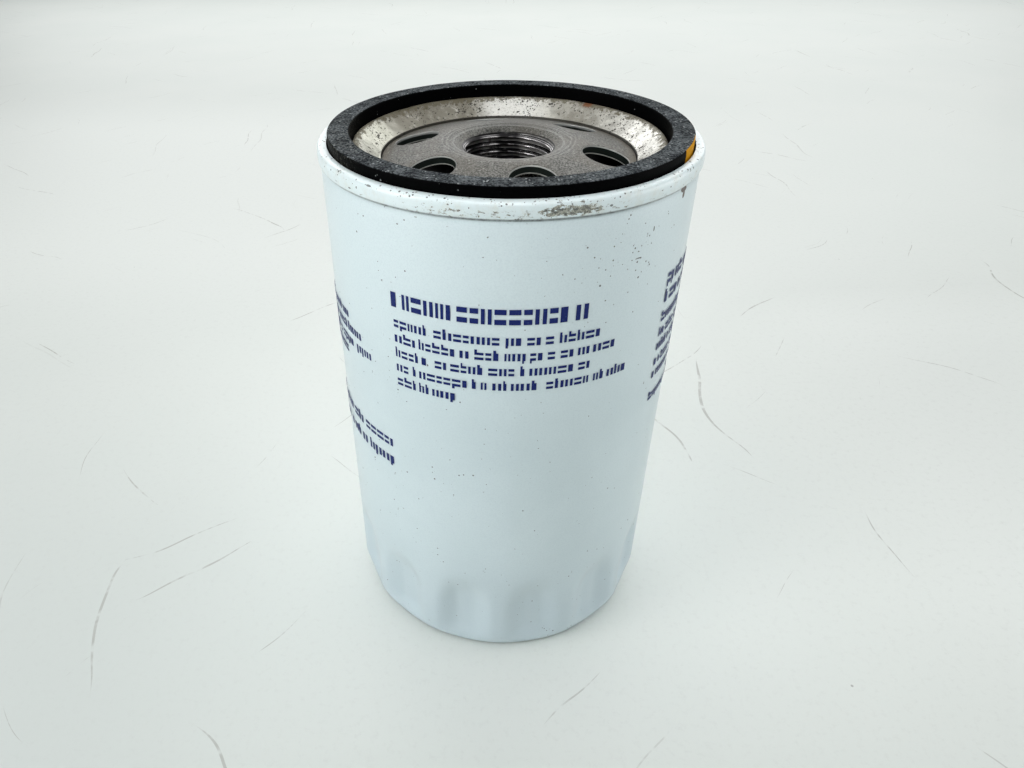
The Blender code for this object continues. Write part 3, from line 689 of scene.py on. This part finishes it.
def bare_steel(name, light, dark, roughness):
    """Plain sheet or wire with drawing marks, oil film and small pits."""
    g = Graph(name)
    drawn = g.noise(0.8, 4.0, 0.6, g.rescaled(1.0, 1.0, 0.15))
    colour = g.mix(g.step(drawn, 0.3, 0.7), rgb(*light), rgb(*dark))
    pits = g.specks(0.9, 0.25, 0.25)
    film = g.step(g.noise(0.15, 3.0), 0.45, 0.65)
    colour = g.mix(g.times(film, 0.35), colour, rgb(0.20, 0.14, 0.06))
    colour = g.mix(g.times(pits, 0.7), colour, rgb(0.05, 0.04, 0.03))
    rough = g.blend(g.noise(1.5, 3.0), roughness, roughness + 0.18)
    return g.finish(colour, rough, g.blend(pits, 1.0, 0.4), g.bump(drawn, 0.25, 0.05))


def paper_material():
    """Resin-treated filter paper: fibrous, with faint crepe lines and darker folds."""
    g = Graph("filter_paper")
    fibre = g.noise(3.0, 6.0, 0.8, g.rescaled(1.0, 1.0, 0.35))
    crepe = g.math("SINE", g.times(g.math("ADD", g.z, g.noise(0.2)), 5.0))
    colour = g.mix(g.step(fibre, 0.3, 0.75), rgb(0.66, 0.47, 0.22), rgb(0.80, 0.62, 0.34))
    folds = g.most(g.step(g.radius, 31.4, 32.4), g.step(g.radius, 18.6, 17.8))
    colour = g.mix(g.times(folds, 0.35), colour, rgb(0.45, 0.29, 0.12))
    normal = g.bump(g.math("ADD", fibre, g.times(crepe, 0.3)), 0.5, 0.12)
    return g.finish(colour, g.blend(fibre, 0.82, 0.95), 0.0, normal)


def adhesive_material():
    """Cured brick-red plastisol with small bubbles."""
    g = Graph("plastisol")
    flow = g.noise(0.5, 3.0, 0.6)
    colour = g.mix(g.step(flow, 0.3, 0.7), rgb(0.42, 0.10, 0.06), rgb(0.55, 0.17, 0.10))
    bubbles = g.specks(0.9, 0.35, 0.35)
    colour = g.mix(g.times(bubbles, 0.4), colour, rgb(0.25, 0.05, 0.03))
    normal = g.bump(g.math("SUBTRACT", flow, bubbles), 0.4, 0.15)
    return g.finish(colour, g.blend(flow, 0.35, 0.5), 0.0, normal)


def floor_material():
    """Off-white studio board with painted pools of light and shade, scratches, scuffs and crumbs of dirt.
    """
    g = Graph("floor_board")
    cloud = g.noise(0.01, 3.0, 0.5)
    colour = g.mix(g.step(cloud, 0.3, 0.7), rgb(0.73, 0.775, 0.745), rgb(0.75, 0.79, 0.76))
    # Painted light: paler pools far back and beside the can
    far = g.times(g.band(g.y, 140.0, 460.0, 70.0), g.step(g.x, 400.0, -100.0))
    beside = g.times(g.step(g.x, 55.0, 155.0), g.band(g.y, -35.0, 160.0, 35.0))
    light = g.most(far, beside)
    colour = g.mix(g.times(light, 0.85), colour, rgb(0.85, 0.89, 0.86))
    # Painted shade: darker to the left, towards the front
    shade = g.times(g.step(g.x, -20.0, -110.0), g.step(g.y, 110.0, -75.0))
    colour = g.mix(g.times(shade, 0.85), colour, rgb(0.62, 0.665, 0.645))
    speckle = g.step(g.noise(0.5, 4.0, 0.8), 0.50, 0.72)
    colour = g.mix(g.times(speckle, 0.18), colour, rgb(0.55, 0.57, 0.55))
    drift = g.node("ShaderNodeTexNoise", noise_dimensions="2D")
    g.link(g.place, drift.inputs["Vector"])
    drift.inputs["Scale"].default_value = 0.012
    bent = g.vector("ADD", g.place, g.vector("SCALE", drift.outputs["Color"], scale=35.0))
    worn = 0.0
    for heading, long, wide in ((35.0, 0.020, 1.1), (-50.0, 0.028, 1.5), (80.0, 0.014, 0.9)):
        turned = g.node("ShaderNodeVectorRotate", rotation_type="Z_AXIS")
        g.link(bent, turned.inputs["Vector"])
        turned.inputs["Angle"].default_value = math.radians(heading)
        stretched = g.rescaled(long, wide, 0.0, turned.outputs["Vector"])
        worn = g.most(worn, g.specks(1.0, 0.50, 0.020, stretched))
    worn = g.times(worn, g.step(g.noise(0.12, 3.0, 0.7), 0.36, 0.56))
    colour = g.mix(g.times(worn, 0.55), colour, rgb(0.30, 0.30, 0.27))
    crumbs = g.specks(0.05, 0.020, 0.7)
    colour = g.mix(g.times(crumbs, 0.6), colour, rgb(0.25, 0.25, 0.24))
    return g.finish(colour, 0.55, 0.0, g.bump(g.noise(0.3, 3.0), 0.1, 0.1))


# ---------------------------------------------------------------- pieces

def flute_warp(radius, height, angle):
    """Press soft wrench flutes into the lower wall, with arched tops and a ridge at angle 0."""
    share = (angle * FLUTES / TURN) % 1.0
    side = abs(2.0 * share - 1.0)
    top = FLUTE_TOP - FLUTE_ARCH * side ** 2
    rise = smooth_step((height - FLUTE_FOOT) / FLUTE_RISE)
    fade = 1.0 - smooth_step((height - (top - FLUTE_FADE)) / FLUTE_FADE)
    hollow = smooth_step((0.90 - side) / 0.72)
    return (radius - FLUTE_DEPTH * rise * fade * hollow, height)


def wall_warp(radius, height, angle):
    """Flutes, plus the slight waviness of drawn and rolled sheet."""
    radius, height = flute_warp(radius, height, angle)
    x, y, z = around(radius, angle, height)
    swell = noise.noise((x * 55.0, y * 55.0, z * 30.0))
    ease = smooth_step((height - 4.0 * MM) / (10.0 * MM))
    return (radius + swell * 0.10 * MM * ease, height)


def make_can(material):
    """The drawn can: dished end, round corner, fluted wall and the rim rolled over the cover."""
    corner = []
    for step in range(13):
        angle = -math.pi / 2.0 + math.pi / 2.0 * step / 12
        across = CAN_RADIUS - CORNER_RADIUS + CORNER_RADIUS * math.cos(angle)
        corner.append((across, CORNER_RADIUS + CORNER_RADIUS * math.sin(angle)))
    base = rounded(
        [(0.0, DISH_DEPTH), (DISH_RADIUS, DISH_DEPTH), (FOOT_INNER, 0.0), corner[0]],
        [1.2 * MM, 1.2 * MM],
    )
    wall = subdivided([corner[-1], (CAN_RADIUS, 30.0 * MM)], 1.2 * MM)[1:]
    wall += subdivided([wall[-1], (CAN_RADIUS, SEAM_HEIGHT - 0.8 * MM)], 3.0 * MM)[1:]
    rim = rounded(
        [
            wall[-1],
            (CAN_RADIUS - 0.12 * MM, SEAM_HEIGHT - 0.12 * MM),
            (RIM_RADIUS - 0.12 * MM, SEAM_HEIGHT + 0.05 * MM),
            (RIM_RADIUS, SEAM_HEIGHT + 1.1 * MM),
            (RIM_RADIUS - 0.12 * MM, RIM_TOP - 0.3 * MM),
            (RIM_RADIUS - 1.1 * MM, RIM_TOP),
            (RIM_RADIUS - 1.95 * MM, RIM_TOP - 0.12 * MM),
        ],
        [0.18 * MM, 0.35 * MM, 0.8 * MM, 1.0 * MM, 0.5 * MM],
    )
    path = base[:-1] + corner + wall + rim[1:]
    shape = lathe(sheet(path, CAN_WALL * 0.8), FLUTES * FLUTE_COLUMNS, wall_warp)
    shape.transform(Matrix.Rotation(FLUTE_PHASE, 4, "Z"))
    piece = make_piece("can_shell", shape, material)
    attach(piece, "housing")
    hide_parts("can")


def cover_warp(radius, height, angle):
    """Faint pressing facets and three creases in the sloping band."""
    slope = smooth_step((radius - LIP_OUTER) / (1.5 * MM))
    slope *= 1.0 - smooth_step((radius - (GROOVE_INNER - MM)) / (1.2 * MM))
    ripple = 0.05 * math.sin(7.0 * angle + 1.0)
    ripple += 0.03 * math.sin(17.0 * angle) + 0.02 * math.sin(31.0 * angle)
    crease = 0.0
    for place, depth in ((247.0, 0.16), (256.0, 0.12), (131.0, 0.08)):
        crease += depth * math.exp(-((angle - math.radians(place)) / math.radians(1.6)) ** 2)
    return (radius, height + slope * (ripple - crease) * MM)


def make_cover(material):
    """The pressed ring: a lip on the plate, a sloping band, the gasket's groove and a flange."""
    path = rounded(
        [
            (LIP_INNER, LIP_UNDERSIDE),
            (LIP_OUTER, LIP_UNDERSIDE),
            (GROOVE_INNER - 2.0 * COVER_SHEET, CREST - COVER_SHEET),
            (GROOVE_INNER - COVER_SHEET, CREST - COVER_SHEET),
            (GROOVE_INNER - COVER_SHEET, GROOVE_FLOOR),
            (GROOVE_OUTER + COVER_SHEET, GROOVE_FLOOR),
            (GROOVE_OUTER + COVER_SHEET, FLANGE_UNDERSIDE),
            (FLANGE_RADIUS, FLANGE_UNDERSIDE),
        ],
        [0.22 * MM, 0.35 * MM, 0.22 * MM, 0.7 * MM, 0.7 * MM, 0.2 * MM],
    )
    shape = lathe(sheet(subdivided(path, 0.6 * MM), COVER_SHEET), 240, cover_warp)
    piece = make_piece("cover_ring", shape, material)
    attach(piece, "housing")
    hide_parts("seaming_cover")


def crown_height(radius):
    """Height of the plate's upper face."""
    share = max(radius - PLATE_FLAT_RADIUS, 0.0) / (PLATE_CROWN_RADIUS - PLATE_FLAT_RADIUS)
    return PLATE_TOP - PLATE_CROWN_DROP * share ** PLATE_CROWN_POWER


def thread_form(phase):
    """Depth of a 60-degree internal thread over one pitch, from its crest (0) to its root (1)."""
    distance = abs(2.0 * phase - 1.0)
    return min(max((0.875 - distance) / 0.625, 0.0), 1.0)


def thread_warp(radius, height, angle):
    """Cut the thread into the bore, with a chamfer at its mouth and a run-out at its foot."""
    if radius != THREAD_MINOR:
        return (radius, height)
    bottom = THREAD_TOP - THREAD_TURNS * THREAD_PITCH
    form = thread_form((height / THREAD_PITCH - angle / TURN) % 1.0)
    form *= smooth_step((height - bottom) / (0.8 * THREAD_PITCH))
    cut = THREAD_MINOR + (THREAD_MAJOR - THREAD_MINOR) * form
    chamfer = THREAD_MAJOR - 0.1 * MM - CHAMFER_SLOPE * (THREAD_TOP - height)
    return (max(cut, chamfer), height)


def hole_cutter(angle):
    """A punch that follows the plate's upper face, so that the hole's upper edge comes out rounded."""
    sides = 40
    edge = 0.28 * MM
    rings = [(INLET_RADIUS, -PLATE_THICKNESS - 2.0 * MM)]
    for step in range(5):
        turn = math.pi / 2.0 * step / 4.0
        rings.append((INLET_RADIUS + edge * (1.0 - math.cos(turn)), edge * (math.sin(turn) - 1.0)))
    clear = INLET_RADIUS + edge + 0.4 * MM
    rings += [(clear, 0.25 * MM), (clear, 3.0 * MM)]
    centre = around(INLET_CIRCLE, angle, 0.0)
    shape = bmesh.new()
    levels = []
    for radius, rise in rings:
        level = []
        for side in range(sides):
            turn = TURN * side / sides
            x = centre[0] + radius * math.cos(turn)
            y = centre[1] + radius * math.sin(turn)
            level.append(shape.verts.new((x, y, crown_height(math.hypot(x, y)) + rise)))
        levels.append(level)
    for low, high in zip(levels, levels[1:]):
        for side in range(sides):
            after = (side + 1) % sides
            shape.faces.new((low[side], low[after], high[after], high[side]))
    shape.faces.new(levels[0][::-1])
    shape.faces.new(levels[-1])
    return shape


def make_plate(material):
    """The domed plate with its dished mouth and threaded neck, and six punched inlet holes."""
    crown = []
    for step in range(25):
        radius = PLATE_CROWN_RADIUS - (PLATE_CROWN_RADIUS - PLATE_FLAT_RADIUS) * step / 24
        crown.append((radius, crown_height(radius)))
    rows = THREAD_TURNS * THREAD_ROWS
    drop = THREAD_PITCH / THREAD_ROWS
    thread = [(THREAD_MINOR, THREAD_TOP - row * drop) for row in range(rows + 1)]
    under = PLATE_TOP - PLATE_THICKNESS
    bottom = rounded(
        [
            (THREAD_MAJOR, NECK_BOTTOM),
            (NECK_RADIUS, NECK_BOTTOM),
            (NECK_RADIUS, under - 0.6 * MM),
            (PLATE_FLAT_RADIUS, under),
            (LIP_INNER, PLATE_RIM_TOP - PLATE_THICKNESS),
            (PLATE_RADIUS, PLATE_RIM_TOP - PLATE_THICKNESS),
            (PLATE_RADIUS, PLATE_RIM_TOP),
            (LIP_INNER - 0.15 * MM, PLATE_RIM_TOP),
            crown[0],
        ],
        [0.5 * MM, 0.6 * MM, 1.0 * MM, 1.0 * MM, 0.4 * MM, 0.4 * MM, 0.1 * MM],
    )
    mouth = []
    for step in range(10):
        share = step / 9.0
        radius = MOUTH_RADIUS - (MOUTH_RADIUS - THREAD_MAJOR + 0.1 * MM) * share
        mouth.append((radius, PLATE_TOP - MOUTH_DEPTH * share ** 1.8))
    shape = lathe(bottom + crown[1:] + mouth + thread, 216, thread_warp)
    plate = make_piece("threaded_plate", shape, material)
    for hole in range(INLET_HOLES):
        cutter = make_piece("punch", hole_cutter(INLET_PHASE + TURN * hole / INLET_HOLES), None)
        boolean = plate.modifiers.new("punch", "BOOLEAN")
        boolean.operation = "DIFFERENCE"
        boolean.solver = "EXACT"
        boolean.object = cutter
        bpy.context.view_layer.objects.active = plate
        bpy.ops.object.modifier_apply(modifier=boolean.name)
        bpy.data.objects.remove(cutter, do_unlink=True)
    plate.data.set_sharp_from_angle(angle=math.radians(38.0))
    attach(plate, "housing")
    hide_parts("base_plate")


def gasket_warp(radius, height, angle):
    """Slight unevenness of moulded rubber."""
    x, y, z = around(radius, angle, height)
    swell = noise.noise((x * 90.0, y * 90.0, z * 90.0))
    upper = smooth_step((height - GASKET_LOW.z) / (3.0 * MM))
    return (radius + swell * 0.05 * MM, height - abs(swell) * 0.05 * MM * upper)


def make_gasket(material):
    """The square-cut sealing ring, with its edges slightly rounded."""
    inner, outer, low, top = GASKET_INNER, GASKET_OUTER, GASKET_LOW.z, GASKET_TOP
    middle = (inner + outer) / 2.0
    path = rounded(
        [(middle, low), (outer, low), (outer, top), (inner, top), (inner, low), (middle, low)],
        [0.35 * MM, 0.45 * MM, 0.45 * MM, 0.35 * MM],
    )
    shape = lathe(subdivided(path, 0.5 * MM)[:-1], 240, gasket_warp)
    piece = make_piece("sealing_gasket", shape, material)
    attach(piece, "sealing_ring")
    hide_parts("gasket")


def add_stroke(shape, start, end, low, high):
    """One dash of ink between two distances round the can and two heights, as a thin closed slab."""
    inner = CAN_RADIUS + 0.10 * MM
    outer = inner + 0.03 * MM
    spans = max(1, math.ceil((end - start) / MM))
    columns = []
    for step in range(spans + 1):
        angle = (start + (end - start) * step / spans) / CAN_RADIUS
        corners = ((inner, low), (outer, low), (outer, high), (inner, high))
        columns.append([shape.verts.new(around(radius, angle, z)) for radius, z in corners])
    for here, ahead in zip(columns, columns[1:]):
        for side in range(4):
            after = (side + 1) % 4
            shape.faces.new((here[side], ahead[side], ahead[after], here[after]))
    shape.faces.new(columns[0])
    shape.faces.new(columns[-1][::-1])


def add_glyph(shape, draw, start, width, base, height, bold):
    """A wordless sign, which is a pair of bars or a block, with a stub above or below on some."""
    kind = draw.random()
    body = height if bold else 0.72 * height
    if kind < 0.40:
        add_stroke(shape, start, start + 0.36 * width, base, base + body)
        add_stroke(shape, start + 0.64 * width, start + width, base, base + body)
    elif kind < 0.75:
        add_stroke(shape, start, start + width, base, base + 0.34 * body)
        add_stroke(shape, start, start + width, base + 0.66 * body, base + body)
    else:
        add_stroke(shape, start, start + 0.55 * width, base, base + body)
    stub = draw.random()
    if not bold and stub < 0.22:
        add_stroke(shape, start, start + 0.3 * width, base + body, base + height)
    elif not bold and stub < 0.30:
        add_stroke(shape, start, start + 0.3 * width, base - 0.25 * height, base)


def add_line(shape, draw, start, end, base, cap, from_right=False, bold=False):
    """A line of wordless signs between two angles in degrees, with its base and cap in mm."""
    unit = 0.62 * cap * MM
    length = math.radians(end - start) * CAN_RADIUS
    place = 0.0
    while place < length - unit:
        for _ in range(20 if bold else draw.randint(2, 9)):
            width = unit * draw.choice((0.8, 1.0, 1.1, 1.25))
            if place + width > length:
                break
            near = length - place - width if from_right else place
            left = math.radians(start) * CAN_RADIUS + near
            add_glyph(shape, draw, left, width, base * MM, cap * MM, bold)
            place += width + 0.25 * unit
        place += 0.55 * unit


def make_print(material):
    """Blocks of wordless signs where the can carries its printed instructions."""
    draw = random.Random(7)
    shape = bmesh.new()
    add_line(shape, draw, -33.3, 24.5, 95.9, 3.1, bold=True)
    for row, end in enumerate((29.3, 37.3, 29.6, 40.3, -8.9)):
        add_line(shape, draw, -32.8, end, 91.6 - 3.33 * row, 2.2)
    for base, cap, end in ((96.4, 2.9, 78.0), (92.2, 2.9, 82.0), (87.9, 2.4, 104.0), (84.4, 2.2, 110.0),
                           (81.1, 2.2, 101.0), (77.4, 2.2, 108.0), (74.1, 2.2, 92.0), (68.3, 2.2, 88.0)):
        add_line(shape, draw, 55.3, end, base, cap)
    for base, end in ((86.8, -57.0), (83.6, -49.3), (80.4, -44.4), (77.2, -60.5)):
        add_line(shape, draw, -112.0, end, base, 2.2, from_right=True)
    for base, end in ((60.5, -36.2), (55.5, -36.0)):
        add_line(shape, draw, -104.0, end, base, 2.8, from_right=True)
    piece = make_piece("print_marks", shape, material)
    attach(piece, "housing")


def make_springs(material):
    """Copies of the springs in spring steel, placed where the imported ones stand, which are hidden."""
    for name, node, holder, mover, upward in (
        ("support_spring", "element_support_spring", "housing", "element", True),
        ("drain_spring", "anti_drain_spring", "element", "drain_valve", True),
        ("relief_spring", "bypass_spring", "element", "relief_valve", False),
    ):
        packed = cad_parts[node]
        mesh = packed.data.copy()
        mesh.materials.clear()
        mesh.materials.append(material)
        piece = bpy.data.objects.new(name, mesh)
        bpy.context.scene.collection.objects.link(piece)
        piece.matrix_world = packed.matrix_world.copy()
        low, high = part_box(node)
        ends = [(0.0, 0.0, low.z), (0.0, 0.0, high.z)]
        if not upward:
            ends.reverse()
        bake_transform(piece)
        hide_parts(node)


def dress_inner_pieces(sprung):
    """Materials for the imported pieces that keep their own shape. sprung is the springs' steel."""
    tinned = bare_steel("tinned_sheet", (0.72, 0.71, 0.67), (0.58, 0.57, 0.53), 0.26)
    rubber = rubber_material("inner_rubber")
    paper = paper_material()
    glue = adhesive_material()
    dressing = {
        tinned: ("upper_end_cap", "lower_end_cap", "centre_tube", "media_seam_clip", "bypass_seat",
                 "bypass_housing", "bypass_poppet"),
        sprung: ("bypass_guide_pin",),
        rubber: ("anti_drain_valve", "bypass_seal"),
        paper: ("pleated_media",),
        glue: ("upper_potting", "lower_potting"),
    }
    for material, names in dressing.items():
        for name in names:
            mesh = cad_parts[name].data
            mesh.materials.clear()
            mesh.materials.append(material)


# ---------------------------------------------------------------- stage, light and camera

def make_floor():
    """The board the filter stands on, wide enough to reach past the frame."""
    shape = bmesh.new()
    half = 4.0
    places = ((-half, -half, 0.0), (half, -half, 0.0), (half, half, 0.0), (-half, half, 0.0))
    shape.faces.new([shape.verts.new(place) for place in places])
    floor = make_piece("floor", shape, floor_material())


def add_softbox(name, location, target, size, power, spread=180.0):
    """A rectangular lamp aimed at a point, hidden from the camera. Spread is in degrees."""
    light = bpy.data.lights.new(name, "AREA")
    light.shape = "RECTANGLE"
    light.size, light.size_y = size
    light.energy = power
    light.spread = math.radians(spread)
    lamp = bpy.data.objects.new(name, light)
    bpy.context.scene.collection.objects.link(lamp)
    lamp.location = location
    lamp.visible_camera = False
    lamp.rotation_mode = "QUATERNION"
    lamp.rotation_quaternion = (Vector(location) - Vector(target)).to_track_quat("Z", "Y")


def make_light():
    """Soft daylight: wide from above and behind, a left key, a low fill and a narrow front beam."""
    bpy.context.scene.view_settings.view_transform = "Standard"
    world = bpy.data.worlds.new("studio")
    bpy.context.scene.world = world
    world.use_nodes = True
    background = world.node_tree.nodes["Background"]
    background.inputs["Color"].default_value = (0.97, 1.0, 0.99, 1.0)
    background.inputs["Strength"].default_value = 0.2
    add_softbox("overhead", (0.05, 0.20, 0.80), (0.0, 0.0, 0.06), (1.3, 1.3), 3.79)
    add_softbox("left_front", (-0.45, -0.25, 0.22), (0.0, 0.0, 0.05), (0.25, 0.25), 1.44)
    add_softbox("right_low", (0.60, 0.0, 0.13), (0.0, 0.0, 0.03), (0.50, 0.24), 1.06)
    add_softbox("back_wall", (0.0, 1.10, 0.50), (0.0, 0.0, 0.05), (1.8, 0.8), 7.87)
    add_softbox("front_beam", (0.0, -0.25, 0.45), (0.0, -0.03, 0.11), (0.15, 0.15), 0.036, 30.0)


def make_camera():
    """The photographed view: a short lens close above the front, with the filter left of centre."""
    camera = bpy.data.cameras.new("camera")
    camera.sensor_width = 36.0
    camera.lens = 25.77
    camera.shift_x = 0.0527
    camera.clip_start = 0.005
    camera.clip_end = 20.0
    holder = bpy.data.objects.new("camera", camera)
    bpy.context.scene.collection.objects.link(holder)
    heading = Matrix.Rotation(math.radians(4.17), 4, "Z")
    tilt = Matrix.Rotation(math.radians(90.0 - 35.06), 4, "X")
    roll = Matrix.Rotation(math.radians(-0.856), 4, "Z")
    place = Matrix.Translation((0.0, -150.76 * MM, 162.17 * MM))
    holder.matrix_world = place @ heading @ tilt @ roll
    bpy.context.scene.camera = holder


make_camera()
make_floor()
make_light()
make_can(paint_material())
make_cover(tinned_material())
make_plate(plate_material())
make_gasket(rubber_material("gasket_rubber", dust_and_sheen=0.85, mark=True))
make_print(ink_material())
SPRUNG = bare_steel("spring_steel", (0.36, 0.37, 0.39), (0.24, 0.25, 0.27), 0.28)
make_springs(SPRUNG)
dress_inner_pieces(SPRUNG)
